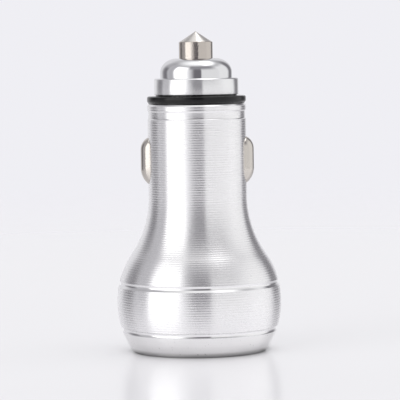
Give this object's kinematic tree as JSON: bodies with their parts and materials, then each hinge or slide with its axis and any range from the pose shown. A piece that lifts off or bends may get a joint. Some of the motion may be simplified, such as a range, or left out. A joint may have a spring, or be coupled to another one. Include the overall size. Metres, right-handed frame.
{
  "type": "car usb charger plug",
  "caption": "Turned metal 12 V car charger plug with a round bulged end, sprung tip and side contacts, and stacked charging sockets.",
  "frame": {"origin": "middle of the rim that the plug stands on, at the socket end", "axes": "+Z along the plug to the tip contact, +X to the right-hand side contact, and the two sockets stacked along Y"},
  "size_m": [0.0336, 0.0336, 0.0655],
  "materials": {
    "turned_aluminium": "fine turned ridges, bright satin",
    "polished_plate": "polished nickel plate",
    "nickel": "bright nickel plate on brass",
    "black_nylon": "fine moulded matte",
    "black_plate": "moulded, half gloss",
    "socket_steel": "folded plated sheet",
    "socket_insulator": "moulded white",
    "socket_contact": "gold flash",
    "spring_steel": "drawn wire",
    "terminal_brass": "stamped brass",
    "board": "green solder mask",
    "ferrite": "fired ferrite",
    "copper_winding": "lacquered copper wire",
    "can": "dark sleeve on an aluminium can",
    "chip": "moulded epoxy",
    "chip_ceramic": "fired ceramic with tinned ends",
    "lead": "red insulation",
    "clear": "clear moulded pin"
  },
  "bodies": {
    "plug_body": {"contact_spring": "spring_steel", "nose_cap": "polished_plate", "insulating_ring": "black_nylon", "housing": "turned_aluminium", "side_spring_left": "spring_steel", "side_spring_right": "spring_steel", "carrier": "black_nylon", "spring_terminal": "terminal_brass", "ground_terminal": "terminal_brass", "positive_lead": "lead", "main_board": "board", "port_board": "board", "face_plate": "black_plate", "light_guide": "clear", "indicator_led": "clear", "inductor_core": "ferrite", "inductor_coil": "copper_winding", "input_capacitor": "can", "output_capacitor": "can", "regulator_chip": "chip", "diode": "chip", "fuse": "chip_ceramic", "chip_resistors": "chip_ceramic", "chip_capacitors": "chip_ceramic", "port_control_chips": "chip", "usb_shell_front": "socket_steel", "usb_shell_rear": "socket_steel", "usb_tongue_front": "socket_insulator", "usb_tongue_rear": "socket_insulator", "usb_pins_front": "socket_contact", "usb_pins_rear": "socket_contact"},
    "tip": {"centre_contact": "nickel"},
    "left_contact": {"contact_left": "nickel"},
    "right_contact": {"contact_right": "nickel"}
  },
  "joints": [
    {"name": "tip_press", "type": "slide", "parent": "plug_body", "child": "tip", "axis": [0, 0, -1], "range_m": [0, 0.003], "stiffness_N_per_m": 1200, "springref_m": -0.002, "deforming": ["contact_spring"]},
    {"name": "left_press", "type": "slide", "parent": "plug_body", "child": "left_contact", "axis": [1, 0, 0], "range_m": [0, 0.0014], "stiffness_N_per_m": 1500, "springref_m": -0.0012, "deforming": ["side_spring_left"]},
    {"name": "right_press", "type": "slide", "parent": "plug_body", "child": "right_contact", "axis": [-1, 0, 0], "range_m": [0, 0.0014], "stiffness_N_per_m": 1500, "springref_m": -0.0012, "deforming": ["side_spring_right"]}
  ]
}
